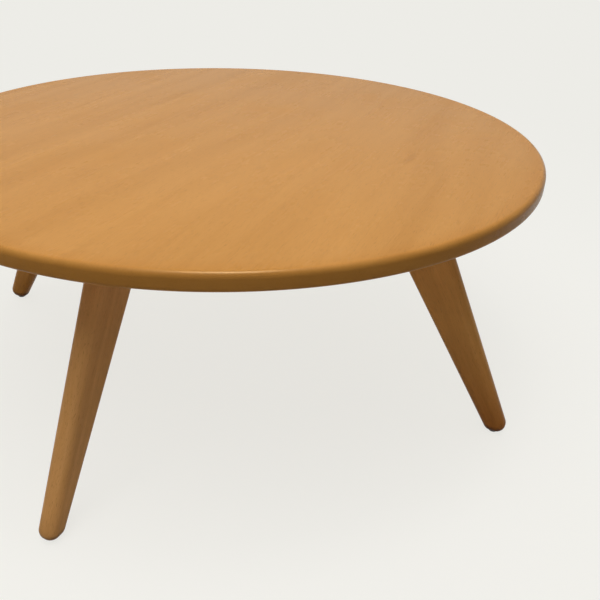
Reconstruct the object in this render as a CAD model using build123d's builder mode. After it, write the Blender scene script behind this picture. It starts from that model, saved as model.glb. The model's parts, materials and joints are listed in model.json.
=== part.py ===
"""Round low table with four splayed plank legs that fold up under the top.

Millimetres, +Z up. The origin is on the floor, under the middle of the tabletop.
Each leg stands in its own upright plane. In that plane, x runs outwards from the table's
axis and y runs up. Every leg plane is set off sideways from the axis by the same amount,
so that opposite legs lie side by side when they are folded.
"""

from build123d import *
from math import atan2, cos, degrees, hypot, radians, sin, tan
import os

# Tabletop
TOP_DIAMETER = 800.0
TABLE_HEIGHT = 345.0
TOP_THICKNESS = 20.0
TOP_EDGE_ROUND = 6.5
UNDER_EDGE_ROUND = 5.0

# Legs: radial places are distances from the table's axis, measured along the leg plane
LEG_PLACES = {"front_left": -135.0, "front_right": -45.0, "back_right": 45.0, "back_left": 135.0}
FIRST_PAIR = ("front_left", "back_right")
LEG_OFFSET = 13.0
LEG_THICKNESS = 24.0
LEG_EDGE_ROUND = 11.0
ROOT_CENTRE = 229.0
ROOT_WIDTH = 90.0
FOOT_CENTRE = 408.0
FOOT_WIDTH = 30.0
FOOT_CORNER = 12.0
FOOT_BASE = 1.0
FOOT_PAD_THICKNESS = 2.5
FOOT_PAD_RADIUS = 6.0
SEAT_PAD_THICKNESS = 1.5
SEAT_PAD_LENGTH = 48.0
SEAT_PAD_WIDTH = 18.0
SEAT_PAD_CENTRE = 245.0

# Pivot: the knuckle is the leg's rounded inner corner, struck about the pin
KNUCKLE_RADIUS = 16.0
PIN_RADIUS = 4.0
PIN_HEAD_RADIUS = 6.5
PIN_HEAD_HEIGHT = 2.4
RUNNING_GAP = 0.05
BUSH_WALL = 2.0
WASHER_RADIUS = 10.0
WASHER_THICKNESS = 1.0
FIRST_FOLD_ANGLE = 122.35

# Hinge brackets: a pair of angle plates, one on each side of the leg
PLATE_THICKNESS = 3.0
BRACKET_LENGTH = 84.0
BRACKET_REACH = 30.0
BRACKET_START = 186.0
BEND_ROUND = 2.0
LOBE_RADIUS = 13.0
TAIL_RADIUS = 10.0
TAIL_DROP = 22.0
BRACKET_SCREW_PITCH = 30.0

# Screws
SCREW_RADIUS = 1.9
SCREW_HEAD_RADIUS = 4.0
SCREW_HEAD_HEIGHT = 2.2
SCREW_LENGTH = 16.0

# Leaf catch and the strike plate that it enters. The leaf's route lists radial places and
# depths under the top; the strike's places are measured down the leg's outer edge.
STRIKE_BED = 4.0
STRIKE_THICKNESS = 2.5
STRIKE_START = 5.0
STRIKE_LENGTH = 40.0
STRIKE_WIDTH = 17.0
WINDOW_CENTRE = 22.8
WINDOW_LENGTH = 11.6
WINDOW_WIDTH = 12.6
POCKET_DEPTH = 4.0
STRIKE_SCREW_RADIUS = 1.5
STRIKE_SCREW_HEAD = 2.9
STRIKE_SCREW_HEAD_HEIGHT = 1.2
STRIKE_SCREW_INSET = 5.5
STRIKE_SCREW_LENGTH = 12.0
LEAF_THICKNESS = 1.2
LEAF_WIDTH = 11.2
LEAF_BEND = 2.2
LEAF_FOOT_WIDTH = 28.0
LEAF_FOOT_LENGTH = 20.0
LEAF_END = 325.0
LEAF_ROUTE = ((323.0, 0.6), (297.0, 0.6), (294.0, 15.9), (277.6, 19.2), (292.5, 33.4), (303.0, 38.4))
LATCH_SCREW_SPREAD = 8.5

# Rubber bumpers under the top, where the first pair of legs comes to rest
BUMPER_RADIUS = 7.0
BUMPER_PLACE = -128.0
BUMPER_GAP = 0.3

# Worked out from the sizes above
TOP_RADIUS = TOP_DIAMETER / 2
UNDERSIDE = TABLE_HEIGHT - TOP_THICKNESS
SEAT_HEIGHT = UNDERSIDE - SEAT_PAD_THICKNESS
HALF_LEG = LEG_THICKNESS / 2
EAR_INSIDE = HALF_LEG + WASHER_THICKNESS + 2 * RUNNING_GAP
EAR_OUTSIDE = EAR_INSIDE + PLATE_THICKNESS
CENTRE_LEAN = (FOOT_CENTRE - ROOT_CENTRE) / UNDERSIDE
INNER_LEAN = CENTRE_LEAN + (ROOT_WIDTH - FOOT_WIDTH) / 2 / UNDERSIDE
OUTER_LEAN = CENTRE_LEAN - (ROOT_WIDTH - FOOT_WIDTH) / 2 / UNDERSIDE
PIVOT_HEIGHT = SEAT_HEIGHT - KNUCKLE_RADIUS
BUSH_RADIUS = PIN_RADIUS + BUSH_WALL


def leg_centre(height):
    """Radial place of the leg's middle line at a height."""
    return FOOT_CENTRE - CENTRE_LEAN * height


def leg_width(height):
    """Radial width of the leg at a height."""
    return FOOT_WIDTH + (ROOT_WIDTH - FOOT_WIDTH) * height / UNDERSIDE


def inner_edge(height):
    """Radial place of the leg's inner edge at a height."""
    return leg_centre(height) - leg_width(height) / 2


def outer_edge(height):
    """Radial place of the leg's outer edge at a height."""
    return leg_centre(height) + leg_width(height) / 2


PIVOT = (inner_edge(PIVOT_HEIGHT) + KNUCKLE_RADIUS * hypot(1, INNER_LEAN), PIVOT_HEIGHT)
FOOT_REST = (inner_edge(FOOT_BASE + FOOT_CORNER) + FOOT_CORNER * hypot(1, INNER_LEAN)
             + outer_edge(FOOT_BASE + FOOT_CORNER) - FOOT_CORNER * hypot(1, OUTER_LEAN)) / 2
FLAT_ANGLE = 180 - degrees(atan2(1, INNER_LEAN))
BUMPER_SLOPE = radians(FLAT_ANGLE - FIRST_FOLD_ANGLE)
BUMPER_FACE = (PIVOT_HEIGHT + KNUCKLE_RADIUS / cos(BUMPER_SLOPE)
               - (PIVOT[0] - BUMPER_PLACE) * tan(BUMPER_SLOPE))
BUMPER_HEIGHT = UNDERSIDE - BUMPER_FACE - BUMPER_GAP


def leg_plane(bearing):
    """Upright plane of the leg at a bearing: x outwards, y up, z to the leg's right."""
    turn = radians(bearing)
    side = Vector(-sin(turn), cos(turn), 0)
    return Plane(origin=side * LEG_OFFSET, x_dir=(cos(turn), sin(turn), 0), z_dir=-side)


def level_plane(bearing, height):
    """Level plane of the same leg at a height: x outwards, y to the leg's left, z up."""
    upright = leg_plane(bearing)
    return Plane(origin=upright.from_local_coords((0, height, 0)), x_dir=upright.x_dir,
                 z_dir=(0, 0, 1))


def edge_plane(bearing):
    """Plane of the leg's outer edge: x runs down the edge from the seat, z points out."""
    upright = leg_plane(bearing)
    start = upright.from_local_coords((outer_edge(SEAT_HEIGHT), SEAT_HEIGHT, 0))
    down = upright.x_dir * OUTER_LEAN + Vector(0, 0, -1)
    return Plane(origin=start, x_dir=down, z_dir=down.cross(upright.z_dir) * -1)


def save(part, name):
    """Label a finished piece and write it to its own file."""
    part.label = name
    export_step(part, f"parts/{name}.step")


def screw_half(spot, radius, head_radius, head_height, length):
    """Half section of a pan-head screw: y runs along its axis, from under the head."""
    rim = head_height * 0.45
    with BuildSketch(spot) as half:
        with BuildLine():
            Polyline((0, -head_height), (head_radius * 0.6, -head_height), (head_radius, -rim),
                     (head_radius, 0), (radius, 0), (radius, length - 2 * radius), (0, length),
                     close=True)
        make_face()
    return half.sketch


def bracket_screw_places():
    """Places of the bracket screws on a level plane, three along each flange."""
    middle = BRACKET_START + BRACKET_LENGTH / 2
    across = EAR_OUTSIDE + BRACKET_REACH / 2
    return [(middle + step * BRACKET_SCREW_PITCH, side * across)
            for side in (-1, 1) for step in (-1, 0, 1)]


def latch_screw_places():
    """Places of the two screws through the foot of the leaf catch."""
    return [(LEAF_END - LEAF_FOOT_LENGTH / 2, side * LATCH_SCREW_SPREAD) for side in (-1, 1)]


def make_tabletop():
    """Solid wooden disc, rounded over at both edges, with pilot holes in its underside."""
    with BuildPart() as tabletop:
        with BuildSketch(Plane.XZ):
            with BuildLine():
                under = Line((0, UNDERSIDE), (TOP_RADIUS - UNDER_EDGE_ROUND, UNDERSIDE))
                low = JernArc(under @ 1, (1, 0), UNDER_EDGE_ROUND, 90)
                side = Line(low @ 1, (TOP_RADIUS, TABLE_HEIGHT - TOP_EDGE_ROUND))
                high = JernArc(side @ 1, (0, 1), TOP_EDGE_ROUND, 90)
                Polyline(high @ 1, (0, TABLE_HEIGHT), under @ 0)
            make_face()
        revolve(axis=Axis.Z)
        for bearing in LEG_PLACES.values():
            with BuildSketch(level_plane(bearing, UNDERSIDE)):
                with Locations(*bracket_screw_places(), *latch_screw_places()):
                    Circle(SCREW_RADIUS + RUNNING_GAP)
            extrude(amount=SCREW_LENGTH - LEAF_THICKNESS, mode=Mode.SUBTRACT)
    save(tabletop.part, "tabletop")


def make_leg(name, bearing):
    """Tapered bullnosed plank with a rounded foot, a knuckle at the pin and a strike bed."""
    upright = leg_plane(bearing)
    edge = edge_plane(bearing)
    with BuildPart() as leg:
        with BuildSketch(upright) as outline:
            with BuildLine():
                Polyline((inner_edge(FOOT_BASE), FOOT_BASE), (outer_edge(FOOT_BASE), FOOT_BASE),
                         (outer_edge(SEAT_HEIGHT), SEAT_HEIGHT),
                         (inner_edge(SEAT_HEIGHT), SEAT_HEIGHT), close=True)
            make_face()
            fillet(outline.vertices().group_by(Axis.Y)[0], FOOT_CORNER)
        extrude(amount=HALF_LEG, both=True)
        sides = leg.faces().filter_by(Axis(upright.origin, upright.z_dir))
        rims = sides.edges().filter_by_position(Axis.Z, 0, SEAT_HEIGHT - 1)
        fillet(rims, LEG_EDGE_ROUND)
        split(bisect_by=level_plane(bearing, FOOT_PAD_THICKNESS), keep=Keep.TOP)
        with BuildSketch(upright):
            with BuildLine():
                corner = (inner_edge(SEAT_HEIGHT) - KNUCKLE_RADIUS, SEAT_HEIGHT + KNUCKLE_RADIUS)
                foot = PIVOT_HEIGHT - KNUCKLE_RADIUS * INNER_LEAN / hypot(1, INNER_LEAN)
                Polyline(PIVOT, (PIVOT[0], corner[1]), corner,
                         (corner[0], foot), (inner_edge(foot), foot), close=True)
            make_face()
            with Locations(PIVOT):
                Circle(KNUCKLE_RADIUS, mode=Mode.SUBTRACT)
        extrude(amount=LEG_THICKNESS, both=True, mode=Mode.SUBTRACT)
        with BuildSketch(upright):
            with Locations(PIVOT):
                Circle(BUSH_RADIUS)
        extrude(amount=LEG_THICKNESS, both=True, mode=Mode.SUBTRACT)
        with BuildSketch(edge.offset(-STRIKE_BED)):
            with Locations((-STRIKE_START, 0)):
                Rectangle(STRIKE_LENGTH + 3 * STRIKE_START, LEG_THICKNESS + 2,
                          align=(Align.MIN, Align.CENTER))
        extrude(amount=STRIKE_BED * 2, mode=Mode.SUBTRACT)
        with BuildSketch(edge.offset(-STRIKE_BED)):
            with Locations((WINDOW_CENTRE, 0)):
                Rectangle(WINDOW_LENGTH, WINDOW_WIDTH)
        extrude(amount=-POCKET_DEPTH, mode=Mode.SUBTRACT)
        with BuildSketch(edge.offset(-STRIKE_BED)):
            with Locations(*strike_screw_places()):
                Circle(STRIKE_SCREW_RADIUS + RUNNING_GAP)
        extrude(amount=-STRIKE_SCREW_LENGTH, mode=Mode.SUBTRACT)
    save(leg.part, f"{name}_leg")


def strike_screw_places():
    """Places of the strike plate's screws on the edge plane, one above and one below."""
    return [(STRIKE_START + STRIKE_SCREW_INSET, 0),
            (STRIKE_START + STRIKE_LENGTH - STRIKE_SCREW_INSET, 0)]


def make_foot_pad(name, bearing):
    """Dark round glide nailed under the level cut at the bottom of the foot."""
    with BuildPart() as pad:
        with BuildSketch(level_plane(bearing, 0)):
            with Locations((FOOT_REST, 0)):
                Circle(FOOT_PAD_RADIUS)
        extrude(amount=FOOT_PAD_THICKNESS)
        chamfer(pad.faces().sort_by(Axis.Z)[0].edges(), 0.6)
    save(pad.part, f"{name}_foot_pad")


def make_seat_pad(name, bearing):
    """Fibre pad on the leg's top end, which bears against the underside when the leg is out."""
    with BuildPart() as pad:
        with BuildSketch(level_plane(bearing, SEAT_HEIGHT)):
            with Locations((SEAT_PAD_CENTRE, 0)):
                RectangleRounded(SEAT_PAD_LENGTH, SEAT_PAD_WIDTH, 3)
        extrude(amount=SEAT_PAD_THICKNESS)
    save(pad.part, f"{name}_seat_pad")


def make_pivot(name, bearing):
    """Headed pin, the bush that lines the leg's bore, and the washers beside the leg."""
    upright = leg_plane(bearing)
    with BuildPart() as pin:
        with BuildSketch(upright):
            with Locations(PIVOT):
                Circle(PIN_RADIUS)
        extrude(amount=EAR_OUTSIDE, both=True)
        for side in (-1, 1):
            with BuildSketch(upright.offset(side * EAR_OUTSIDE)):
                with Locations(PIVOT):
                    Circle(PIN_HEAD_RADIUS)
            extrude(amount=side * PIN_HEAD_HEIGHT)
        faces = pin.faces().sort_by(Axis(upright.origin, upright.z_dir))
        chamfer([faces[0].edges()[0], faces[-1].edges()[0]], 1.2)
    save(pin.part, f"{name}_pivot_pin")

    with BuildPart() as bush:
        with BuildSketch(upright):
            with Locations(PIVOT):
                Circle(BUSH_RADIUS)
                Circle(PIN_RADIUS + RUNNING_GAP, mode=Mode.SUBTRACT)
        extrude(amount=HALF_LEG, both=True)
    save(bush.part, f"{name}_pivot_bush")

    with BuildPart() as washers:
        for side in (-1, 1):
            with BuildSketch(upright.offset(side * (HALF_LEG + RUNNING_GAP))):
                with Locations(PIVOT):
                    Circle(WASHER_RADIUS)
                    Circle(PIN_RADIUS + RUNNING_GAP, mode=Mode.SUBTRACT)
            extrude(amount=side * WASHER_THICKNESS)
    save(washers.part, f"{name}_pivot_washers")


def make_hinge_brackets(name, bearing):
    """Pair of steel angle plates: a flange on the underside and an ear that holds the pin."""
    upright = leg_plane(bearing)
    end = BRACKET_START + BRACKET_LENGTH
    with BuildPart() as brackets:
        with BuildSketch(upright.offset(EAR_INSIDE)):
            with Locations((BRACKET_START + BRACKET_LENGTH / 2, UNDERSIDE - PLATE_THICKNESS / 2)):
                Rectangle(BRACKET_LENGTH, PLATE_THICKNESS)
            with Locations(PIVOT):
                Circle(LOBE_RADIUS)
            with Locations((end - TAIL_RADIUS, UNDERSIDE - TAIL_DROP)):
                Circle(TAIL_RADIUS)
            make_hull()
        extrude(amount=PLATE_THICKNESS)
        with BuildSketch(upright.offset(EAR_INSIDE)):
            with Locations((BRACKET_START + BRACKET_LENGTH / 2, UNDERSIDE - PLATE_THICKNESS / 2)):
                Rectangle(BRACKET_LENGTH, PLATE_THICKNESS)
        extrude(amount=PLATE_THICKNESS + BRACKET_REACH)
        right = Axis(upright.origin, upright.z_dir)
        out = Axis(upright.origin, upright.x_dir)
        long_edges = brackets.edges().filter_by(out)
        bend = long_edges.filter_by_position(Axis.Z, UNDERSIDE - 0.1, UNDERSIDE + 0.1).sort_by(right)
        fillet(bend[0], BEND_ROUND)
        corners = brackets.edges().filter_by(Axis.Z).group_by(right)[-1]
        fillet(corners, BEND_ROUND * 3)
        with BuildSketch(upright):
            with Locations(PIVOT):
                Circle(PIN_RADIUS + RUNNING_GAP)
        extrude(amount=EAR_OUTSIDE + 1, mode=Mode.SUBTRACT)
        with BuildSketch(level_plane(bearing, UNDERSIDE)):
            with Locations(*bracket_screw_places()):
                Circle(SCREW_RADIUS + RUNNING_GAP)
        extrude(amount=-PLATE_THICKNESS, mode=Mode.SUBTRACT)
        mirror(about=upright)
    save(brackets.part, f"{name}_hinge_brackets")


def make_screws(name, bearing, places, under_head):
    """Group of pan-head screws driven up into the top, one at each place."""
    level = level_plane(bearing, under_head)
    with BuildPart() as screws:
        for across, along in places:
            spot = Plane(origin=level.from_local_coords((across, along, 0)),
                         x_dir=level.x_dir, z_dir=leg_plane(bearing).z_dir)
            half = screw_half(spot, SCREW_RADIUS, SCREW_HEAD_RADIUS, SCREW_HEAD_HEIGHT,
                              SCREW_LENGTH)
            revolve(half, axis=Axis(spot.origin, spot.y_dir))
    save(screws.part, name)


def make_strike(name, bearing):
    """Plate let into the leg's outer edge, with a window for the catch, and its screws."""
    edge = edge_plane(bearing)
    outside = edge.offset(STRIKE_THICKNESS - STRIKE_BED)
    with BuildPart() as plate:
        with BuildSketch(edge.offset(-STRIKE_BED)):
            with Locations((STRIKE_START + STRIKE_LENGTH / 2, 0)):
                RectangleRounded(STRIKE_LENGTH, STRIKE_WIDTH, 2)
            with Locations((WINDOW_CENTRE, 0)):
                Rectangle(WINDOW_LENGTH, WINDOW_WIDTH, mode=Mode.SUBTRACT)
            with Locations(*strike_screw_places()):
                Circle(STRIKE_SCREW_RADIUS + RUNNING_GAP, mode=Mode.SUBTRACT)
        extrude(amount=STRIKE_THICKNESS)
    save(plate.part, f"{name}_strike_plate")

    with BuildPart() as screws:
        for along, across in strike_screw_places():
            spot = Plane(origin=outside.from_local_coords((along, across, 0)),
                         x_dir=edge.x_dir, z_dir=-leg_plane(bearing).z_dir)
            half = screw_half(spot, STRIKE_SCREW_RADIUS, STRIKE_SCREW_HEAD,
                              STRIKE_SCREW_HEAD_HEIGHT, STRIKE_SCREW_LENGTH)
            revolve(half, axis=Axis(spot.origin, spot.y_dir))
    save(screws.part, f"{name}_strike_screws")


def make_latch_spring(name, bearing):
    """Leaf of spring steel: a foot on the underside, a nose in the strike, a finger tab."""
    upright = leg_plane(bearing)
    with BuildPart() as latch:
        with BuildSketch(upright):
            with BuildLine() as leaf:
                FilletPolyline(*[(out, UNDERSIDE - drop) for out, drop in LEAF_ROUTE],
                               radius=LEAF_BEND)
            trace(leaf.edges(), line_width=LEAF_THICKNESS)
        extrude(amount=LEAF_WIDTH / 2, both=True)
        with BuildSketch(level_plane(bearing, UNDERSIDE)):
            with Locations((LEAF_END - LEAF_FOOT_LENGTH / 2, 0)):
                RectangleRounded(LEAF_FOOT_LENGTH, LEAF_FOOT_WIDTH, 3)
        extrude(amount=-LEAF_THICKNESS)
        with BuildSketch(level_plane(bearing, UNDERSIDE)):
            with Locations(*latch_screw_places()):
                Circle(SCREW_RADIUS + RUNNING_GAP)
        extrude(amount=-LEAF_THICKNESS, mode=Mode.SUBTRACT)
    save(latch.part, f"{name}_latch_spring")


def make_fold_bumpers():
    """Rubber buttons under the top that the first pair of legs folds up against."""
    with BuildPart() as bumpers:
        for name in FIRST_PAIR:
            with BuildSketch(level_plane(LEG_PLACES[name], UNDERSIDE)):
                with Locations((BUMPER_PLACE, 0)):
                    Circle(BUMPER_RADIUS)
            extrude(amount=-BUMPER_HEIGHT, taper=8)
    save(bumpers.part, "fold_bumpers")


os.makedirs("parts", exist_ok=True)
make_tabletop()
make_fold_bumpers()
for place, bearing in LEG_PLACES.items():
    make_leg(place, bearing)
    make_foot_pad(place, bearing)
    make_seat_pad(place, bearing)
    make_pivot(place, bearing)
    make_hinge_brackets(place, bearing)
    make_screws(f"{place}_bracket_screws", bearing, bracket_screw_places(),
                UNDERSIDE - PLATE_THICKNESS)
    make_strike(place, bearing)
    make_latch_spring(place, bearing)
    make_screws(f"{place}_latch_screws", bearing, latch_screw_places(),
                UNDERSIDE - LEAF_THICKNESS)
print("pivot at", [round(value, 2) for value in PIVOT], "flat fold", round(FLAT_ANGLE, 2),
      "bumper height", round(BUMPER_HEIGHT, 2))
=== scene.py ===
# %% [markdown]
# # A round folding low table
# The table is a wooden disc on four splayed plank legs. Each leg turns on a steel pin under the
# top and folds up flat against it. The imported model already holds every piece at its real
# size and place. This lesson dresses it: it makes the finishes, turns the round top as a
# finer mesh, drives screws with crosses in their heads, and sets up a plain studio.

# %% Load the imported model
import json
import math

import bpy
from mathutils import Matrix, Vector


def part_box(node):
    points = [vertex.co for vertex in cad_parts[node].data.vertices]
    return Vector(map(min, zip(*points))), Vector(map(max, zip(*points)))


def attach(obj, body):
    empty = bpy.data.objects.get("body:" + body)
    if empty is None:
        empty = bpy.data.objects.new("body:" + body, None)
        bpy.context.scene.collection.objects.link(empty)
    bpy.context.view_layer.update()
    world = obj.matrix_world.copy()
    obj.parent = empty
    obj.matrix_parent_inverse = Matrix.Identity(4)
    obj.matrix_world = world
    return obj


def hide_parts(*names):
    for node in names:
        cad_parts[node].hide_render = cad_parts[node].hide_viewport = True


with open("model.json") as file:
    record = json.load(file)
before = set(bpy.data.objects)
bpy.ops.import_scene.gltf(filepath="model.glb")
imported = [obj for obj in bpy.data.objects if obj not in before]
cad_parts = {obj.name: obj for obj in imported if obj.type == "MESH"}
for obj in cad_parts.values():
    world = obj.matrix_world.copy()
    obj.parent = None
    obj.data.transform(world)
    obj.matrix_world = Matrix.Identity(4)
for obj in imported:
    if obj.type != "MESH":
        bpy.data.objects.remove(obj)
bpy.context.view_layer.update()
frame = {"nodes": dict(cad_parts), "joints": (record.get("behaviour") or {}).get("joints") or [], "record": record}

# %% [markdown]
# ## Sizes and places
# Everything is in metres. The top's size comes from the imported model, and each leg's plane
# comes from its hinge: the pin's axis points sideways, and the outward direction is level and
# square to it.

# %% Read sizes and leg planes from the frame
top_low, top_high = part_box("tabletop")
TOP_RADIUS = (top_high.x - top_low.x) / 2
TOP_HEIGHT = top_high.z
UNDERSIDE = top_low.z
UPPER_ROUND = 0.0065
LOWER_ROUND = 0.005
UP = Vector((0, 0, 1))
PLACES = ("front_left", "front_right", "back_right", "back_left")


def leg_frame(place):
    """The hinge point, the outward direction and the sideways direction of one leg."""
    joint = next(j for j in frame["joints"] if j["name"] == f"{place}_fold")
    side = Vector(joint["axis"]).normalized()
    return Vector(joint["pos_m"]), side.cross(UP), side


for place in PLACES:
    pin, outward, side = leg_frame(place)
    print(place, "pin at", [round(v, 4) for v in pin],
          "outward", [round(v, 3) for v in outward])

# %% [markdown]
# ## Helpers for node trees
# A node tree is a list of nodes and the links between them. `put` adds one node, sets its
# options and fills its inputs: an input that is given another node's socket is linked to it,
# and any other value is typed in. `open_group` starts a node group with named inputs and
# outputs. The others shorten the nodes that turn up again and again.

# %% Node helpers
def put(tree, kind, inputs=None, **options):
    """Add a node, set its options, and link or set each of its inputs."""
    node = tree.nodes.new(kind)
    for option, value in options.items():
        setattr(node, option, value)
    for key, value in (inputs or {}).items():
        if isinstance(value, bpy.types.NodeSocket):
            tree.links.new(value, node.inputs[key])
        else:
            node.inputs[key].default_value = value
    return node


def open_group(name, kind, inputs, outputs):
    """Start a group. Inputs are (name, socket type, value), outputs (name, socket type)."""
    tree = bpy.data.node_groups.new(name, kind)
    for label, socket, value in inputs:
        item = tree.interface.new_socket(label, in_out="INPUT",
                                         socket_type=f"NodeSocket{socket}")
        if value is not None:
            item.default_value = value
    for label, socket in outputs:
        tree.interface.new_socket(label, in_out="OUTPUT", socket_type=f"NodeSocket{socket}")
    return tree, tree.nodes.new("NodeGroupInput").outputs, tree.nodes.new("NodeGroupOutput")


def maths(tree, operation, first, second=0.0, third=0.0, clamp=False):
    """One Math node's result."""
    node = put(tree, "ShaderNodeMath", {0: first, 1: second, 2: third}, operation=operation)
    node.use_clamp = clamp
    return node.outputs[0]


def blend_colour(tree, factor, first, second, mode="MIX"):
    """One colour Mix node's result."""
    node = put(tree, "ShaderNodeMix", {0: factor, 6: first, 7: second}, data_type="RGBA",
               blend_type=mode)
    return node.outputs[2]


def spread(tree, value, low, high, to_low, to_high):
    """Map a value from one range to another, clamped."""
    node = put(tree, "ShaderNodeMapRange", {0: value, 1: low, 2: high, 3: to_low, 4: to_high})
    return node.outputs[0]


def noise(tree, vector, scale, detail=2.0, roughness=0.5, distortion=0.0):
    """One Noise Texture's value."""
    node = put(tree, "ShaderNodeTexNoise",
               {"Vector": vector, "Scale": scale, "Detail": detail, "Roughness": roughness,
                "Distortion": distortion})
    return node.outputs[0]


def stretch(tree, vector, scale):
    """A vector with each of its axes multiplied."""
    node = put(tree, "ShaderNodeVectorMath", {0: vector, 1: scale}, operation="MULTIPLY")
    return node.outputs[0]


print("helpers ready")

# %% [markdown]
# ## Wood figure: finding a point's place in the log
# A board is a slice of a log, so its broad figure is the log's growth rings cut through at a
# slant. The group measures how far each point is from the log's axis. No tree grows straight,
# so slow noise makes the coordinates wander first, and they bend round one small knot. The
# three numbers of a scale are along the grain, across it, and into the board.

# %% Shader group: wood figure, its coordinates
WANDER_SCALES = (2.5, 6, 6)
KNOT_REACH_SCALES = (18, 40, 4)
KNOT_BEND = 0.007
wood, given, result = open_group(
    "wood_figure", "ShaderNodeTree",
    [("Vector", "Vector", None), ("Pale Wood", "Color", (0.6, 0.28, 0.06, 1)),
     ("Dark Wood", "Color", (0.4, 0.17, 0.03, 1)), ("Ring Strength", "Float", 0.4),
     ("Streak Strength", "Float", 0.3), ("Fibre Strength", "Float", 0.25),
     ("Pore Strength", "Float", 0.55), ("Pore Tint", "Color", (0.5, 0.42, 0.34, 1)),
     ("Wander", "Float", 0.02), ("Rings Per Metre", "Float", 70.0),
     ("Log Axis", "Vector", (0, 0.05, 0.14)), ("Log Slant", "Float", 0.03),
     ("Knot Place", "Vector", (0, 0, 9))],
    [("Color", "Color"), ("Roughness", "Float"), ("Height", "Float")])
slow = put(wood, "ShaderNodeTexNoise",
           {"Vector": stretch(wood, given["Vector"], WANDER_SCALES), "Scale": 1.0,
            "Detail": 3.0, "Roughness": 0.5})
centred = put(wood, "ShaderNodeVectorMath", {0: slow.outputs["Color"], 1: (0.5, 0.5, 0.5)},
              operation="SUBTRACT")
shift = put(wood, "ShaderNodeVectorMath", {0: centred.outputs[0], "Scale": given["Wander"]},
            operation="SCALE")
wavy = put(wood, "ShaderNodeVectorMath", {0: given["Vector"], 1: shift.outputs[0]},
           operation="ADD").outputs[0]
from_knot = put(wood, "ShaderNodeVectorMath", {0: given["Vector"], 1: given["Knot Place"]},
                operation="SUBTRACT").outputs[0]
near_knot = put(wood, "ShaderNodeVectorMath",
                {0: stretch(wood, from_knot, KNOT_REACH_SCALES)},
                operation="LENGTH").outputs["Value"]
knot_bend = put(wood, "ShaderNodeCombineXYZ", {1: spread(wood, near_knot, 0, 1, KNOT_BEND, 0)})
bent = put(wood, "ShaderNodeVectorMath", {0: wavy, 1: knot_bend.outputs[0]},
           operation="ADD").outputs[0]
in_log = put(wood, "ShaderNodeVectorMath", {0: bent, 1: given["Log Axis"]}, operation="ADD")
split = put(wood, "ShaderNodeSeparateXYZ", {0: in_log.outputs[0]}).outputs
depth = maths(wood, "MULTIPLY_ADD", split[0], given["Log Slant"], split[2])
from_axis = put(wood, "ShaderNodeCombineXYZ", {1: split[1], 2: depth})
radius = put(wood, "ShaderNodeVectorMath", {0: from_axis.outputs[0]}, operation="LENGTH")
print("wood coordinates:", len(wood.nodes), "nodes")

# %% [markdown]
# ## Wood figure: rings, streaks, fibres and pores
# The rings are noise that is read at the distance from the log's axis, so it is the same all
# round the log: on the flat face they come out as long arches, and on the rim as end grain.
# Streaks, fibres and pores are noise too, stretched along the grain. A streak is as long as a
# forearm, a fibre as a finger, and a pore about a centimetre.

# %% Shader group: wood figure, its four layers
STREAK_SCALES = (2.2, 80, 80)
FIBRE_SCALES = (16, 620, 620)
PORE_SCALES = (90, 2300, 2300)
RING_RANGE = (0.3, 0.7)
STREAK_RANGE = (0.3, 0.72)
FIBRE_RANGE = (0.3, 0.7)
PORE_RANGE = (0.62, 0.74)
ring_number = maths(wood, "MULTIPLY", radius.outputs["Value"], given["Rings Per Metre"])
ring_noise = put(wood, "ShaderNodeTexNoise", {"W": ring_number, "Scale": 1.0, "Detail": 2.0},
                 noise_dimensions="1D").outputs[0]
rings = spread(wood, ring_noise, *RING_RANGE, 0, 1)
streaks = spread(wood, noise(wood, stretch(wood, bent, STREAK_SCALES), 1.0, 5.0, 0.6),
                 *STREAK_RANGE, 0, 1)
fibres = spread(wood, noise(wood, stretch(wood, bent, FIBRE_SCALES), 1.0, 3.0, 0.6),
                *FIBRE_RANGE, 0, 1)
pores = spread(wood, noise(wood, stretch(wood, bent, PORE_SCALES), 1.0, 1.0),
               *PORE_RANGE, 0, 1)
print("with its layers:", len(wood.nodes), "nodes")

# %% [markdown]
# ## Wood figure: colour, gloss and height
# The layers are added up, each with a strength of its own, into one figure that blends the
# pale wood into the dark. The knot's core is dark through and through. Pores are tinted on
# top. Lacquer sinks a little into the open streaks and leaves them duller, and the pores and
# fibres give the fine height for a bump.

# %% Shader group: wood figure, its results
KNOT_CORE_SCALES = (42, 150, 8)
KNOT_CORE_FULL = 0.2
DENSE_ROUGHNESS = 0.22
OPEN_ROUGHNESS = 0.28
PORE_DEPTH = -0.6
FIBRE_HEIGHT = 0.3
figure = maths(wood, "MULTIPLY", rings, given["Ring Strength"])
figure = maths(wood, "MULTIPLY_ADD", streaks, given["Streak Strength"], figure)
figure = maths(wood, "MULTIPLY_ADD", fibres, given["Fibre Strength"], figure, clamp=True)
knot_core = put(wood, "ShaderNodeVectorMath", {0: stretch(wood, from_knot, KNOT_CORE_SCALES)},
                operation="LENGTH").outputs["Value"]
in_core = spread(wood, knot_core, KNOT_CORE_FULL, 1, 1.0, 0)
figure = maths(wood, "ADD", figure, in_core, clamp=True)
toned = blend_colour(wood, figure, given["Pale Wood"], given["Dark Wood"])
pored = maths(wood, "MULTIPLY", pores, given["Pore Strength"])
pore_colour = blend_colour(wood, 1.0, toned, given["Pore Tint"], "MULTIPLY")
pitted = blend_colour(wood, pored, toned, pore_colour)
wood.links.new(pitted, result.inputs["Color"])
dull = spread(wood, streaks, 0, 1, DENSE_ROUGHNESS, OPEN_ROUGHNESS)
wood.links.new(dull, result.inputs["Roughness"])
grain_height = maths(wood, "MULTIPLY_ADD", pores, PORE_DEPTH,
                     maths(wood, "MULTIPLY", fibres, FIBRE_HEIGHT))
wood.links.new(grain_height, result.inputs["Height"])
print("wood figure:", len(wood.nodes), "nodes")

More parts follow.
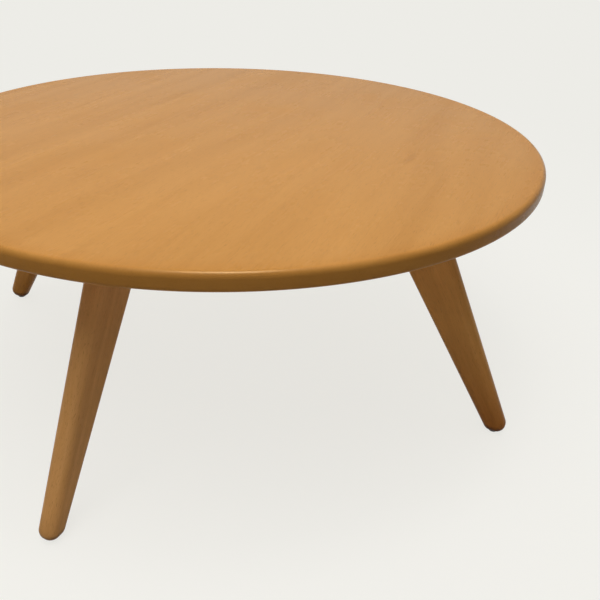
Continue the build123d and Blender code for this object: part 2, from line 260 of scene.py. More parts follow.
# %% [markdown]
# ## Lacquer texture
# A sprayed lacquer isn't a perfect mirror. It has a shallow waviness and faint rubs from use.
# The group puts out a height for the waviness and a mask of rubbed patches that are duller.
# The wood takes the group's own sizes, and each finish of the hardware gives finer ones.

# %% Shader group: handling marks
RUB_RANGE = (0.42, 0.7)
handled, given, result = open_group(
    "handling_marks", "ShaderNodeTree",
    [("Vector", "Vector", None), ("Patch Scale", "Float", 9.0), ("Fine Scale", "Float", 420.0)],
    [("Rubbed", "Float"), ("Height", "Float")])
patches = noise(handled, given["Vector"], given["Patch Scale"], 5.0, 0.62)
handled.links.new(spread(handled, patches, *RUB_RANGE, 0, 1), result.inputs["Rubbed"])
ripple = noise(handled, given["Vector"], given["Fine Scale"], 1.0)
handled.links.new(ripple, result.inputs["Height"])
print("handling marks:", len(handled.nodes), "nodes")

# %% [markdown]
# ## Tones of the wood
# The top is one tone and each leg another, because they are cut from different boards. The two
# front legs' tones are also set lighter, as painted light. Just inside the rim of the round top
# the colour turns more golden, and on the rim it deepens: partly the cut edge drinks more stain
# than its face, partly this is painted shade. Each leg's colour also deepens towards its foot as
# painted shade, and the last few millimetres above the floor carry a painted dark shadow.

# %% Tones
TOP_TONES = ((0.672, 0.327, 0.088, 1), (0.544, 0.248, 0.057, 1))
# Painted light: the two front legs' tones are set lighter than the back legs', beyond the boards' own difference.
LEG_TONES = {
    "front_left": ((0.88, 0.465, 0.175, 1), (0.70, 0.345, 0.110, 1)),
    "front_right": ((0.93, 0.465, 0.140, 1), (0.73, 0.345, 0.092, 1)),
    "back_right": ((0.78, 0.365, 0.090, 1), (0.60, 0.265, 0.060, 1)),
    "back_left": ((0.77, 0.355, 0.084, 1), (0.59, 0.255, 0.052, 1)),
}
EDGE_GOLD = (0.97, 0.93, 0.84, 1)
GOLD_START = TOP_RADIUS - 0.024
GOLD_FULL = TOP_RADIUS - 0.008
# Painted shade, partly real stain: the rim is darkened all round.
RIM_STAIN_AND_SHADE = (0.755, 0.735, 0.63, 1)
STAIN_AND_SHADE_START = TOP_RADIUS - 0.0045
STAIN_AND_SHADE_FULL = TOP_RADIUS - 0.0005
# Painted shade: each leg's colour darkens towards its foot, over the given reach.
PAINTED_FOOT_SHADE = {
    "front_left": {"tint": (0.84, 0.83, 0.80, 1), "reach": 0.040},
    "front_right": {"tint": (0.51, 0.38, 0.28, 1), "reach": 0.150},
    "back_right": {"tint": (0.80, 0.76, 0.70, 1), "reach": 0.100},
    "back_left": {"tint": (0.84, 0.81, 0.76, 1), "reach": 0.060},
}
# Painted shadow: a dark band in the last millimetres above the floor, where the foot's underside is in shade.
PAINTED_FOOT_SHADOW = (0.27, 0.22, 0.19, 1)
FOOT_SHADOW_FULL = 0.0065
FOOT_SHADOW_END = 0.0135
print("leg tones:", ", ".join(LEG_TONES))

# %% [markdown]
# ## Wood material
# The grain has to run across the top in one direction and along each leg in its own. One
# function makes a wood material from the direction of its grain: a Mapping node turns the
# object's coordinates until x runs along the grain. The distance from the table's axis gives
# the golden band and the darker rim, partly stain and partly painted shade, and the height above
# the floor gives the painted shade and shadow at the feet. The Principled shader stays in the
# material.

# %% Function: wood material
LACQUER_SPECULAR = 0.04
RUBBED_ROUGHNESS = 0.07
GRAIN_BUMP = {"Strength": 0.16, "Distance": 0.0002}
RIPPLE_BUMP = {"Strength": 0.05, "Distance": 0.0004}


def wood_material(name, tones, turn, seed, rings, streaks, knot=None, rim=False, foot=None):
    """Lacquered wood whose grain runs along the turned x axis, from a spot of its own."""
    material = bpy.data.materials.new(name)
    material.use_nodes = True
    tree = material.node_tree
    shader = tree.nodes["Principled BSDF"]
    spot = put(tree, "ShaderNodeTexCoord").outputs["Object"]
    along = put(tree, "ShaderNodeMapping",
                {"Vector": spot, "Location": seed, "Rotation": turn},
                vector_type="POINT").outputs[0]
    grain = put(tree, "ShaderNodeGroup", node_tree=wood)
    tree.links.new(along, grain.inputs["Vector"])
    grain.inputs["Pale Wood"].default_value = tones[0]
    grain.inputs["Dark Wood"].default_value = tones[1]
    grain.inputs["Ring Strength"].default_value = rings
    grain.inputs["Streak Strength"].default_value = streaks
    if knot:
        grain.inputs["Knot Place"].default_value = knot
    colour = grain.outputs["Color"]
    if rim:
        level = put(tree, "ShaderNodeVectorMath", {0: spot, 1: (1, 1, 0)}, operation="MULTIPLY")
        reach = put(tree, "ShaderNodeVectorMath", {0: level.outputs[0]},
                    operation="LENGTH").outputs["Value"]
        golden = spread(tree, reach, GOLD_START, GOLD_FULL, 0, 1)
        colour = blend_colour(tree, golden, colour, EDGE_GOLD, "MULTIPLY")
        # The rim darkening is partly real stain and partly painted shade.
        stained_and_shaded = spread(tree, reach, STAIN_AND_SHADE_START, STAIN_AND_SHADE_FULL, 0, 1)
        colour = blend_colour(tree, stained_and_shaded, colour, RIM_STAIN_AND_SHADE, "MULTIPLY")
    if foot:
        # Painted shade darkens the leg towards its foot, and a painted shadow darkens the last millimetres.
        height = put(tree, "ShaderNodeSeparateXYZ", {0: spot}).outputs[2]
        foot_shade = spread(tree, height, 0, foot["reach"], 1, 0)
        colour = blend_colour(tree, foot_shade, colour, foot["tint"], "MULTIPLY")
        foot_shadow = spread(tree, height, FOOT_SHADOW_FULL, FOOT_SHADOW_END, 1, 0)
        colour = blend_colour(tree, foot_shadow, colour, PAINTED_FOOT_SHADOW, "MULTIPLY")
    marks = put(tree, "ShaderNodeGroup", node_tree=handled)
    tree.links.new(spot, marks.inputs["Vector"])
    duller = maths(tree, "MULTIPLY_ADD", marks.outputs["Rubbed"], RUBBED_ROUGHNESS,
                   grain.outputs["Roughness"])
    fine = put(tree, "ShaderNodeBump", {**GRAIN_BUMP, "Height": grain.outputs["Height"]})
    ripple = put(tree, "ShaderNodeBump",
                 {**RIPPLE_BUMP, "Height": marks.outputs["Height"], "Normal": fine.outputs[0]})
    shader.inputs["Specular IOR Level"].default_value = LACQUER_SPECULAR
    tree.links.new(colour, shader.inputs["Base Color"])
    tree.links.new(duller, shader.inputs["Roughness"])
    tree.links.new(ripple.outputs[0], shader.inputs["Normal"])
    return material


# %% [markdown]
# ## Woods of the top and the legs
# The grain of the top runs from its front left to its back right, and the knot lies between
# the middle and the front right edge. Each leg's grain follows the way the leg leans. Each leg
# reads the noise at a spot of its own, so that no two look alike.

# %% Wood materials
LEG_RUN = 0.179
LEG_DROP = 0.325
LEG_LEAN = math.atan(LEG_RUN / LEG_DROP)
TOP_GRAIN = math.radians(47)
TOP_SEED = Vector((0.3, 0.1, 0.2))
KNOT = Vector((0.187, -0.157, 0.345))
TOP_FIGURE = {"rings": 0.36, "streaks": 0.30}
LEG_FIGURE = {"rings": 0.45, "streaks": 0.55}
turned_knot = Matrix.Rotation(-TOP_GRAIN, 3, "Z") @ KNOT + TOP_SEED
top_wood = wood_material("top_wood_lacquered", TOP_TONES, (0, 0, -TOP_GRAIN), TOP_SEED,
                         knot=turned_knot, rim=True, **TOP_FIGURE)
leg_woods = {}
for number, place in enumerate(PLACES):
    outward = leg_frame(place)[1]
    down_leg = outward * math.sin(LEG_LEAN) - UP * math.cos(LEG_LEAN)
    turn = down_leg.rotation_difference(Vector((1, 0, 0))).to_euler()
    leg_woods[place] = wood_material(f"leg_wood_{place}", LEG_TONES[place], turn,
                                     (number, 0.5 * number, 0), foot=PAINTED_FOOT_SHADE[place],
                                     **LEG_FIGURE)
print("wood materials:", 1 + len(leg_woods))

# %% [markdown]
# ## Turned pieces
# A lathe turns a profile round an axis. Here the profile is a line of points, each with its
# radius, its height and how much its corner is rounded. The tree rounds the corners, reads the
# profile point by point, and bends a flat grid round the axis with it. The open seam and the
# poles are then merged, so the skin is closed. The same tree turns the round top, the screws
# and the pins.

# %% Geometry tree: turned piece
MERGE_DISTANCE = 0.000002
turning, given, result = open_group(
    "turned_piece", "GeometryNodeTree",
    [("Geometry", "Geometry", None), ("Segments", "Int", 64), ("Round Steps", "Int", 8),
     ("Material", "Material", None)],
    [("Geometry", "Geometry")])
line = put(turning, "GeometryNodeMeshToCurve", {0: given["Geometry"]}).outputs[0]
rounding = put(turning, "GeometryNodeInputNamedAttribute", {"Name": "round"}, data_type="FLOAT")
profile = put(turning, "GeometryNodeFilletCurve",
              {"Curve": line, "Radius": rounding.outputs[0], "Count": given["Round Steps"]},
              mode="POLY")
size = put(turning, "GeometryNodeAttributeDomainSize", {0: profile.outputs[0]},
           component="CURVE")
rows = size.outputs["Point Count"]
columns = maths(turning, "ADD", given["Segments"], 1)
grid = put(turning, "GeometryNodeMeshGrid", {"Vertices X": columns, "Vertices Y": rows})
index = put(turning, "GeometryNodeInputIndex").outputs[0]
row = maths(turning, "MODULO", index, rows)
column = maths(turning, "FLOOR", maths(turning, "DIVIDE", index, rows))
turned_part = maths(turning, "DIVIDE", column, given["Segments"])
angle = maths(turning, "MULTIPLY", turned_part, math.tau)
spot = put(turning, "GeometryNodeInputPosition").outputs[0]
sample = put(turning, "GeometryNodeSampleIndex",
             {"Geometry": profile.outputs[0], "Value": spot, "Index": row},
             data_type="FLOAT_VECTOR", domain="POINT")
profile_point = put(turning, "ShaderNodeSeparateXYZ", {0: sample.outputs[0]}).outputs
across = maths(turning, "MULTIPLY", profile_point[0], maths(turning, "COSINE", angle))
along = maths(turning, "MULTIPLY", profile_point[0], maths(turning, "SINE", angle))
swept = put(turning, "ShaderNodeCombineXYZ", {0: across, 1: along, 2: profile_point[2]})
wrapped = put(turning, "GeometryNodeSetPosition",
              {"Geometry": grid.outputs["Mesh"], "Position": swept.outputs[0]})
closed = put(turning, "GeometryNodeMergeByDistance",
             {"Geometry": wrapped.outputs[0], "Distance": MERGE_DISTANCE})
smooth = put(turning, "GeometryNodeSetShadeSmooth", {"Geometry": closed.outputs[0]})
real = put(turning, "GeometryNodeRealizeInstances", {"Geometry": smooth.outputs[0]})
dressed = put(turning, "GeometryNodeSetMaterial",
              {"Geometry": real.outputs[0], "Material": given["Material"]})
turning.links.new(dressed.outputs[0], result.inputs["Geometry"])
print("turned piece tree:", len(turning.nodes), "nodes")

# %% [markdown]
# ## Running a tree
# A tree runs as a modifier on a seed mesh. Its inputs are set by their identifiers before
# anything is evaluated. The evaluated result is then copied into a plain mesh and the modifier
# is removed, because the plain mesh is what rides on a body. The seed mesh holds the profile
# as a line, and loose points for the places where a piece is repeated.

# %% Functions: run a tree, and make its seed mesh
def grow(name, seed_mesh, tree, **values):
    """Run a geometry tree on a mesh and return an object that holds the plain result."""
    carrier = bpy.data.objects.new(name, seed_mesh)
    bpy.context.scene.collection.objects.link(carrier)
    modifier = carrier.modifiers.new("growth", "NODES")
    modifier.node_group = tree
    for item in tree.interface.items_tree:
        label = item.name.replace(" ", "_").lower()
        if item.in_out == "INPUT" and label in values:
            modifier[item.identifier] = values[label]
    carrier.update_tag()
    bpy.context.view_layer.update()
    seen = carrier.evaluated_get(bpy.context.evaluated_depsgraph_get())
    plain = bpy.data.meshes.new_from_object(seen)
    carrier.modifiers.clear()
    carrier.data = plain
    plain.name = name
    print(name, "has", len(plain.polygons), "faces")
    return carrier


def profile_mesh(points, places=()):
    """A line of (radius, height, rounding) points, then loose points at (place, axis) pairs."""
    mesh = bpy.data.meshes.new("profile")
    mesh.from_pydata([(radius, 0, height) for radius, height, _ in points]
                     + [spot for spot, _ in places],
                     [(i, i + 1) for i in range(len(points) - 1)], [])
    rounds = mesh.attributes.new("round", "FLOAT", "POINT")
    rounds.data.foreach_set("value",
                            [rounding for _, _, rounding in points] + [0] * len(places))
    loose = mesh.attributes.new("place", "BOOLEAN", "POINT")
    loose.data.foreach_set("value", [False] * len(points) + [True] * len(places))
    axes = mesh.attributes.new("axis", "FLOAT_VECTOR", "POINT")
    axes.data.foreach_set("vector", [0.0, 0.0, 1.0] * len(points)
                          + [value for _, axis in places for value in axis])
    return mesh


# %% [markdown]
# ## The round top
# The real top is a board cut to a circle, with a wide rounding on its upper edge and a smaller
# one below. It follows one rule all the way round, so it is turned. Two extra points near each
# rounding hold the flat faces flat, because smooth shading would otherwise bend the light
# across the whole board. Their distances from the rim are given in roundings.

# %% Turn the round top
NEAR_HOLD = 1.2
FAR_HOLD = 4
top_profile = [
    (0, UNDERSIDE, 0),
    (TOP_RADIUS - FAR_HOLD * LOWER_ROUND, UNDERSIDE, 0),
    (TOP_RADIUS - NEAR_HOLD * LOWER_ROUND, UNDERSIDE, 0),
    (TOP_RADIUS, UNDERSIDE, LOWER_ROUND),
    (TOP_RADIUS, TOP_HEIGHT, UPPER_ROUND),
    (TOP_RADIUS - NEAR_HOLD * UPPER_ROUND, TOP_HEIGHT, 0),
    (TOP_RADIUS - FAR_HOLD * UPPER_ROUND, TOP_HEIGHT, 0),
    (0, TOP_HEIGHT, 0),
]
round_top = grow("round_top", profile_mesh(top_profile), turning, segments=288, round_steps=10,
                 material=top_wood)
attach(round_top, "table")
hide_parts("tabletop")

# %% [markdown]
# ## Screws and pins
# A screw is a turned piece with a cross pressed into its head, and the same screw is driven at
# many places. The seed mesh holds both: a line for the profile, and a loose point for each
# place with the direction that the head faces. The tree turns the profile once, cuts the cross,
# and sets a copy on each point, each turned by a random amount, as driven screws are.

# %% Geometry tree: set of fasteners
CREASE_ANGLE = 0.6
QUARTER_TURN = math.pi / 2
setting, given, result = open_group(
    "fastener_set", "GeometryNodeTree",
    [("Geometry", "Geometry", None), ("Segments", "Int", 40), ("Round Steps", "Int", 5),
     ("Head Height", "Float", 0.002), ("Cross Length", "Float", 0.004),
     ("Cross Width", "Float", 0.001), ("Cross Depth", "Float", 0.001),
     ("Has Cross", "Bool", True), ("Seed", "Int", 11), ("Material", "Material", None)],
    [("Geometry", "Geometry")])
is_place = put(setting, "GeometryNodeInputNamedAttribute", {"Name": "place"},
               data_type="BOOLEAN")
apart = put(setting, "GeometryNodeSeparateGeometry",
            {0: given["Geometry"], 1: is_place.outputs[0]}, domain="POINT")
turned = put(setting, "GeometryNodeGroup",
             {0: apart.outputs["Inverted"], 1: given["Segments"], 2: given["Round Steps"],
              3: given["Material"]}, node_tree=turning).outputs[0]
doubled = maths(setting, "MULTIPLY", given["Cross Depth"], 2)
at_top = put(setting, "ShaderNodeCombineXYZ", {2: given["Head Height"]}).outputs[0]
bars = []
for first, second in (("Cross Length", "Cross Width"), ("Cross Width", "Cross Length")):
    bar_size = put(setting, "ShaderNodeCombineXYZ",
                   {0: given[first], 1: given[second], 2: doubled})
    bar = put(setting, "GeometryNodeMeshCube", {"Size": bar_size.outputs[0]}).outputs["Mesh"]
    raised = put(setting, "GeometryNodeTransform", {0: bar, "Translation": at_top})
    bars.append(raised.outputs[0])
cut = put(setting, "GeometryNodeMeshBoolean", {"Mesh 1": turned, "Mesh 2": bars[0]},
          operation="DIFFERENCE", solver="EXACT")
setting.links.new(bars[1], cut.inputs["Mesh 2"])
chosen = put(setting, "GeometryNodeSwitch",
             {"Switch": given["Has Cross"], "False": turned, "True": cut.outputs["Mesh"]},
             input_type="GEOMETRY").outputs[0]
bend_angle = put(setting, "GeometryNodeInputMeshEdgeAngle").outputs["Unsigned Angle"]
sharp = put(setting, "FunctionNodeCompare", {0: bend_angle, 1: CREASE_ANGLE},
            data_type="FLOAT", operation="GREATER_THAN").outputs[0]
creased = put(setting, "GeometryNodeSetShadeSmooth",
              {"Geometry": chosen, "Selection": sharp, "Shade Smooth": False}, domain="EDGE")
faces_out = put(setting, "GeometryNodeInputNamedAttribute", {"Name": "axis"},
                data_type="FLOAT_VECTOR")
aimed = put(setting, "FunctionNodeAlignRotationToVector", {"Vector": faces_out.outputs[0]},
            axis="Z")
chance = put(setting, "FunctionNodeRandomValue",
             {2: 0.0, 3: QUARTER_TURN, "Seed": given["Seed"]}, data_type="FLOAT")
spin = put(setting, "FunctionNodeAxisAngleToRotation",
           {"Axis": (0, 0, 1), "Angle": chance.outputs[1]})
driven = put(setting, "FunctionNodeRotateRotation",
             {"Rotation": aimed.outputs[0], "Rotate By": spin.outputs[0]},
             rotation_space="LOCAL")
copies = put(setting, "GeometryNodeInstanceOnPoints",
             {"Points": apart.outputs["Selection"], "Instance": creased.outputs[0],
              "Rotation": driven.outputs[0]})
real = put(setting, "GeometryNodeRealizeInstances", {"Geometry": copies.outputs[0]})
dressed = put(setting, "GeometryNodeSetMaterial",
              {"Geometry": real.outputs[0], "Material": given["Material"]})
setting.links.new(dressed.outputs[0], result.inputs["Geometry"])
print("fastener tree:", len(setting.nodes), "nodes")

# %% [markdown]
# ## Plain finishes for the hardware
# Hinge plates, strike plates and screws are zinc-plated steel, the pins bright steel, the
# catches blued spring steel and the bushes brass. The washers are nylon, the stops on the leg
# tops pressed fibre, the glides dark plastic and the bumpers black rubber. Each is a base
# colour that varies a little, a roughness that follows the handling marks, and a fine bump.

# %% Hardware materials
MARK_DEPTH = 0.0002


def plain_material(name, light, dark, metal, rough, rub, patch_scale, fine_scale, bump):
    """A finish whose colour and gloss vary in patches, with a fine bump."""
    material = bpy.data.materials.new(name)
    material.use_nodes = True
    tree = material.node_tree
    shader = tree.nodes["Principled BSDF"]
    shader.inputs["Metallic"].default_value = metal
    spot = put(tree, "ShaderNodeTexCoord").outputs["Object"]
    marks = put(tree, "ShaderNodeGroup", node_tree=handled)
    tree.links.new(spot, marks.inputs["Vector"])
    marks.inputs["Patch Scale"].default_value = patch_scale
    marks.inputs["Fine Scale"].default_value = fine_scale
    tint = blend_colour(tree, marks.outputs["Rubbed"], (*light, 1), (*dark, 1))
    gloss = spread(tree, marks.outputs["Rubbed"], 0, 1, rough, rough + rub)
    uneven = put(tree, "ShaderNodeBump",
                 {"Strength": bump, "Distance": MARK_DEPTH, "Height": marks.outputs["Height"]})
    tree.links.new(tint, shader.inputs["Base Color"])
    tree.links.new(gloss, shader.inputs["Roughness"])
    tree.links.new(uneven.outputs[0], shader.inputs["Normal"])
    return material


# Slot: material name, light and dark colour, metal, roughness and what rubbing adds to it,
# patch and fine scale of the marks, and strength of the bump.
HARDWARE = {
    "zinc_steel": ("zinc_plate", (0.60, 0.61, 0.62), (0.53, 0.54, 0.555),
                   1.0, 0.34, 0.12, 70, 900, 0.10),
    "screw_steel": ("zinc_screw", (0.62, 0.60, 0.55), (0.42, 0.40, 0.36),
                    1.0, 0.28, 0.2, 300, 1500, 0.10),
    "pin_steel": ("bright_pin", (0.66, 0.66, 0.66), (0.52, 0.51, 0.50),
                  1.0, 0.22, 0.16, 260, 1800, 0.08),
    "spring_steel": ("blued_spring", (0.10, 0.12, 0.17), (0.06, 0.06, 0.075),
                     1.0, 0.30, 0.2, 140, 1400, 0.08),
    "brass": ("turned_brass", (0.78, 0.56, 0.24), (0.58, 0.40, 0.17),
              1.0, 0.26, 0.2, 220, 1600, 0.1),
    "nylon": ("natural_nylon", (0.80, 0.78, 0.70), (0.70, 0.67, 0.58),
              0.0, 0.42, 0.12, 160, 1200, 0.1),
    "fibre": ("pressed_fibre", (0.34, 0.24, 0.15), (0.22, 0.15, 0.09),
              0.0, 0.85, 0.1, 260, 2600, 0.6),
    "glide": ("dark_glide", (0.035, 0.028, 0.022), (0.06, 0.05, 0.042),
              0.0, 0.5, 0.2, 140, 1500, 0.25),
    "bumper_rubber": ("black_rubber", (0.03, 0.028, 0.026), (0.055, 0.05, 0.046),
                      0.0, 0.62, 0.15, 160, 1700, 0.3),
}
FINISHES = {slot: plain_material(*values) for slot, values in HARDWARE.items()}
print("finishes:", ", ".join(sorted(FINISHES)))

# %% [markdown]
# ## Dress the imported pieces
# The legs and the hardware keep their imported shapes. The record says which material slot each
# node has, so a loop gives each its finish. The legs take the wood that is turned to their own
# grain.

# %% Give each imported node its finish
for part in frame["record"]["subparts"]:
    node = frame["nodes"][part["node"]]
    slot = part["material_slot"]
    if slot == "leg_wood":
        finish = leg_woods[part["node"].removesuffix("_leg")]
    elif slot == "top_wood":
        finish = top_wood
    else:
        finish = FINISHES[slot]
    for material_slot in node.material_slots:
        material_slot.material = finish
print("dressed", len(frame["nodes"]), "nodes")

# %% [markdown]
# ## Sizes of the screws and pins
# Three screws hold each flange of a hinge, and two hold each catch, all driven upwards into
# the top. Two more hold each strike plate on the leg's outer edge. Their places are given in
# the leg's own plane: how far out from the table's axis, how far to the side, and how high.

# %% Fastener sizes and places
FLANGE = 0.003
LEAF = 0.0012
SCREW = {"shank": 0.0019, "head": 0.004, "height": 0.0022, "length": 0.016}
STRIKE_SCREW = {"shank": 0.0015, "head": 0.0029, "height": 0.0012, "length": 0.012}
PIN = {"shank": 0.004, "head": 0.0065, "height": 0.0024, "reach": 0.0161, "rounding": 0.0016}
DOME_PER_HEIGHT = 0.72
CROSS_LENGTH_PER_HEAD = 1.15
CROSS_WIDTH_PER_HEAD = 0.26
CROSS_DEPTH_PER_HEIGHT = 0.6
FLANGE_OUTS = (0.198, 0.228, 0.258)
FLANGE_SIDE = 0.0311
LEAF_OUT = 0.315
LEAF_SIDE = 0.0085
FLANGE_SCREWS = [(out, side) for side in (-FLANGE_SIDE, FLANGE_SIDE) for out in FLANGE_OUTS]
LEAF_SCREWS = [(LEAF_OUT, -LEAF_SIDE), (LEAF_OUT, LEAF_SIDE)]
EDGE_START = Vector((0.27469, 0.3235))
EDGE_DOWN = Vector((0.41675, -0.90902))
EDGE_OUT = Vector((0.90902, 0.41675))
STRIKE_SCREWS = (0.0105, 0.0395)
STRIKE_DEPTH = 0.0015


def leg_spot(place, out, side, height):
    """A point given by its distance out along a leg's plane, to its side, and up."""
    pin, outward, across = leg_frame(place)
    return outward * out + across * (pin.dot(across) + side) + UP * height


print("screws for each leg:", len(FLANGE_SCREWS) + len(LEAF_SCREWS) + len(STRIKE_SCREWS))

# %% [markdown]
# ## Drive the screws
# A pan head is flat underneath and domed above, and its cross is a little longer than the
# head's radius. All of the screws in the top are one piece, because they move together. The
# strike plates' screws face out along the edge of the leg, so they ride on their leg.

# %% Screws at their places
def screw_profile(size):
    """Half section of a pan-head screw, from its point up to the top of its head."""
    tip = -size["length"]
    return [(0, tip, 0), (size["shank"], tip + 2 * size["shank"], 0),
            (size["shank"], 0, 0), (size["head"], 0, 0),
            (size["head"], size["height"], DOME_PER_HEIGHT * size["height"]),
            (0, size["height"], 0)]


def screws(name, size, places, body, nodes):
    """Screws of one size on one body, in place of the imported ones."""
    piece = grow(name, profile_mesh(screw_profile(size), places), setting, segments=40,
                 round_steps=5, head_height=size["height"],
                 cross_length=CROSS_LENGTH_PER_HEAD * size["head"],
                 cross_width=CROSS_WIDTH_PER_HEAD * size["head"],
                 cross_depth=CROSS_DEPTH_PER_HEIGHT * size["height"],
                 has_cross=True, seed=len(name), material=FINISHES["screw_steel"])
    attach(piece, body)
    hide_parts(*nodes)


down = -UP
driven_up = [(leg_spot(place, out, side, UNDERSIDE - FLANGE), down)
             for place in PLACES for out, side in FLANGE_SCREWS]
driven_up += [(leg_spot(place, out, side, UNDERSIDE - LEAF), down)
              for place in PLACES for out, side in LEAF_SCREWS]
screws("table_screws", SCREW, driven_up, "table",
       [f"{place}_{kind}" for place in PLACES for kind in ("bracket_screws", "latch_screws")])
for place in PLACES:
    outward = leg_frame(place)[1]
    faces = outward * EDGE_OUT.x + UP * EDGE_OUT.y
    driven_in = []
    for down_edge in STRIKE_SCREWS:
        spot = EDGE_START + EDGE_DOWN * down_edge - EDGE_OUT * STRIKE_DEPTH
        driven_in.append((leg_spot(place, spot.x, 0, spot.y), faces))
    screws(f"{place}_edge_screws", STRIKE_SCREW, driven_in, f"{place}_leg",
           [f"{place}_strike_screws"])

# %% [markdown]
# ## Rivet the pins
# Each pin goes through both plates of its hinge with the leg between them. It is riveted over
# once it is in, so it has a rounded head at each end. The four pins are turned by the same
# tree, with no cross, and each is laid along its leg's axis.

# %% Pins at their places
far = PIN["reach"] + PIN["height"]
pin_profile = [(0, -far, 0), (PIN["head"], -far, PIN["rounding"]),
               (PIN["head"], -PIN["reach"], 0), (PIN["shank"], -PIN["reach"], 0),
               (PIN["shank"], PIN["reach"], 0), (PIN["head"], PIN["reach"], 0),
               (PIN["head"], far, PIN["rounding"]), (0, far, 0)]
pivots = [(leg_frame(place)[0], leg_frame(place)[2]) for place in PLACES]
pins = grow("riveted_pins", profile_mesh(pin_profile, pivots), setting, segments=48,
            round_steps=6, head_height=0.0, cross_length=0.001, cross_width=0.001,
            cross_depth=0.001, has_cross=False, seed=3, material=FINISHES["pin_steel"])
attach(pins, "table")
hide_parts(*[f"{place}_pivot_pin" for place in PLACES])

# %% [markdown]
# ## Studio floor
# The floor is a wide pale sheet, so large that its edges lie far outside the view.

# %% Floor
FLOOR_SIZE = 40.0
half = FLOOR_SIZE / 2
corners = [(-half, -half, 0), (half, -half, 0), (half, half, 0), (-half, half, 0)]
floor_mesh = bpy.data.meshes.new("studio_floor")
floor_mesh.from_pydata(corners, [], [(0, 1, 2, 3)])
floor = bpy.data.objects.new("studio_floor", floor_mesh)
bpy.context.scene.collection.objects.link(floor)
print("floor", FLOOR_SIZE, "m wide")

# %% [markdown]
# ## Floor material
# Near the table the sheet takes the soft shadow. Further out it fades to the plain colour of
# the backdrop, so that no horizon shows. Mirrors see the same pale colour, and the light that
# bounces off it is that of a plain matt floor. From below the camera sees through it, so that
# the hinges can be looked at from there.

# %% Material: studio sheet
BACKDROP = (0.847, 0.840, 0.799, 1)
FLOOR_BOUNCE = (0.60, 0.59, 0.565, 1)
FLOOR_WHITE = (0.9, 0.893, 0.85, 1)
FADE_START = 0.6
FADE_END = 1.7
EVEN_SHARE_NEAR = 0.80
EVEN_STRENGTH_NEAR = 1.12


def seen_directly(tree, path):
    """A mask that is 1 for what the camera, a mirror or a glass sees, and 0 for other light."""
    camera_or_mirror = maths(tree, "MAXIMUM", path["Is Camera Ray"], path["Is Glossy Ray"])
    return maths(tree, "MAXIMUM", camera_or_mirror, path["Is Transmission Ray"])


sheet = bpy.data.materials.new("studio_sheet")
sheet.use_nodes = True
tree = sheet.node_tree
tree.nodes.remove(tree.nodes["Principled BSDF"])
path = put(tree, "ShaderNodeLightPath").outputs
seen = seen_directly(tree, path)
here = put(tree, "ShaderNodeTexCoord").outputs["Object"]
away = put(tree, "ShaderNodeVectorMath", {0: here}, operation="LENGTH").outputs["Value"]
fade = spread(tree, away, FADE_START, FADE_END, EVEN_SHARE_NEAR, 1.0)
shade = blend_colour(tree, seen, FLOOR_BOUNCE, FLOOR_WHITE)
matt = put(tree, "ShaderNodeBsdfDiffuse", {"Color": shade})
strength = spread(tree, away, FADE_START, FADE_END, EVEN_STRENGTH_NEAR, 1.0)
even = put(tree, "ShaderNodeEmission", {"Color": BACKDROP, "Strength": strength})
mixed = put(tree, "ShaderNodeMixShader",
            {0: maths(tree, "MULTIPLY", seen, fade), 1: matt.outputs[0], 2: even.outputs[0]})
back = put(tree, "ShaderNodeNewGeometry").outputs["Backfacing"]
clear = put(tree, "ShaderNodeBsdfTransparent")
from_below = maths(tree, "MULTIPLY", path["Is Camera Ray"], back)
sided = put(tree, "ShaderNodeMixShader",
            {0: from_below, 1: mixed.outputs[0], 2: clear.outputs[0]})
tree.links.new(sided.outputs[0], tree.nodes["Material Output"].inputs["Surface"])
floor_mesh.materials.append(sheet)
print("floor material:", len(tree.nodes), "nodes")

# %% [markdown]
# ## Lamps
# Four square lamps light the table. A very large one hangs over it, a little to the back, and
# lights the top evenly. A smaller one stands high at the front left and models the legs. A
# small weak one hangs just in front. The last is a warm one that lights nothing by itself: it
# is only mirrored in the lacquer, and draws the thin bright line along the front rounding.
# Each lamp faces a point near the top. It tilts away from the vertical towards its heading,
# which is counted in degrees from +X towards +Y.

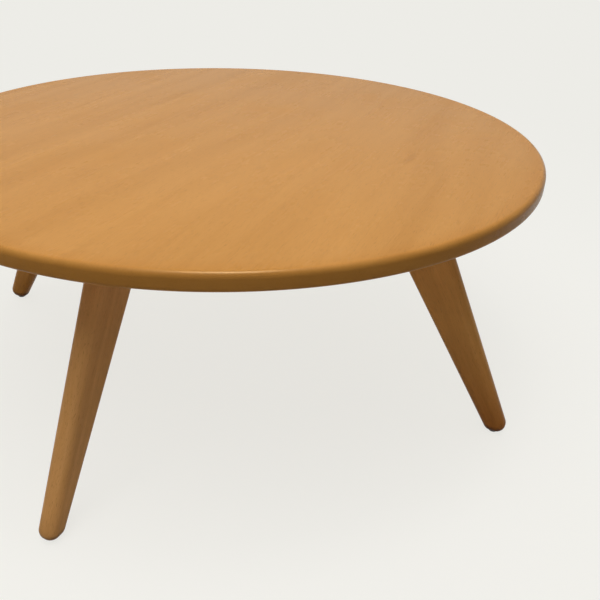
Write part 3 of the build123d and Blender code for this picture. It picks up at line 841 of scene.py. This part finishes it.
# %% Lamps
WHITE = (1.0, 1.0, 1.0)
WARM = (1.0, 0.74, 0.42)
AIM = Vector((0, 0, 0.3))
LAMPS = {
    "ceiling_box": {"size": 3.0, "tilt": 16, "heading": 80, "reach": 1.7, "power": 18.5,
                    "mirrored": False, "lights": True, "colour": WHITE},
    "left_box": {"size": 1.2, "tilt": 31, "heading": -128, "reach": 1.9, "power": 14.0,
                 "mirrored": False, "lights": True, "colour": WHITE},
    "front_box": {"size": 0.35, "tilt": 13, "heading": -90, "reach": 1.65, "power": 4.5,
                  "mirrored": True, "lights": True, "colour": WHITE},
    "edge_glint": {"size": 0.44, "tilt": 16, "heading": -104, "reach": 1.6, "power": 135.0,
                   "mirrored": True, "lights": False, "colour": WARM},
}
for name, lamp in LAMPS.items():
    lamp_data = bpy.data.lights.new(name, "AREA")
    lamp_data.shape = "SQUARE"
    lamp_data.size = lamp["size"]
    lamp_data.energy = lamp["power"]
    lamp_data.color = lamp["colour"]
    lamp_object = bpy.data.objects.new(name, lamp_data)
    heading = Matrix.Rotation(math.radians(lamp["heading"]), 4, "Z")
    tilt = Matrix.Rotation(math.radians(lamp["tilt"]), 4, "Y")
    lamp_object.matrix_world = (Matrix.Translation(AIM) @ heading @ tilt
                                @ Matrix.Translation((0, 0, lamp["reach"])))
    lamp_object.visible_glossy = lamp["mirrored"]
    lamp_object.visible_diffuse = lamp["lights"]
    bpy.context.scene.collection.objects.link(lamp_object)
print("lamps:", ", ".join(f"{name} {lamp['power']:.0f} W" for name, lamp in LAMPS.items()))

# %% [markdown]
# ## World
# A weak even glow from all round keeps the shadows open. The camera and mirrors see the colour
# of the backdrop in its place.

# %% World
AMBIENT = (0.14, 0.14, 0.14, 1)
world = bpy.data.worlds.new("studio")
bpy.context.scene.world = world
world.use_nodes = True
tree = world.node_tree
path = put(tree, "ShaderNodeLightPath").outputs
seen = seen_directly(tree, path)
glow = blend_colour(tree, seen, AMBIENT, BACKDROP)
tree.links.new(glow, tree.nodes["Background"].inputs["Color"])
print("world:", len(tree.nodes), "nodes")

# %% [markdown]
# ## Camera
# The camera looks down at the table from the height of a seated person's eyes. Its heading is
# the angle from +Y towards +X, and its tilt is below the horizon. A small sideways shift
# frames the table off centre.

# %% Camera
CAMERA_PLACE = Vector((-0.2362, -0.8992, 0.6177))
CAMERA_HEADING = math.radians(19.0)
CAMERA_TILT = math.radians(29.33)
CAMERA_ROLL = 0.0266
camera_data = bpy.data.cameras.new("camera")
camera_data.lens = 43.43
camera_data.sensor_width = 36.0
camera_data.shift_x = 0.0436
camera_data.clip_start = 0.01
camera = bpy.data.objects.new("camera", camera_data)
bpy.context.scene.collection.objects.link(camera)
turned = Matrix.Rotation(-CAMERA_HEADING, 4, "Z")
tilted = Matrix.Rotation(math.pi / 2 - CAMERA_TILT, 4, "X")
rolled = Matrix.Rotation(CAMERA_ROLL, 4, "Z")
camera.matrix_world = Matrix.Translation(CAMERA_PLACE) @ turned @ tilted @ rolled
bpy.context.scene.camera = camera
bpy.context.scene.view_settings.view_transform = "Standard"
print("camera at", [round(v, 3) for v in camera.matrix_world.translation])
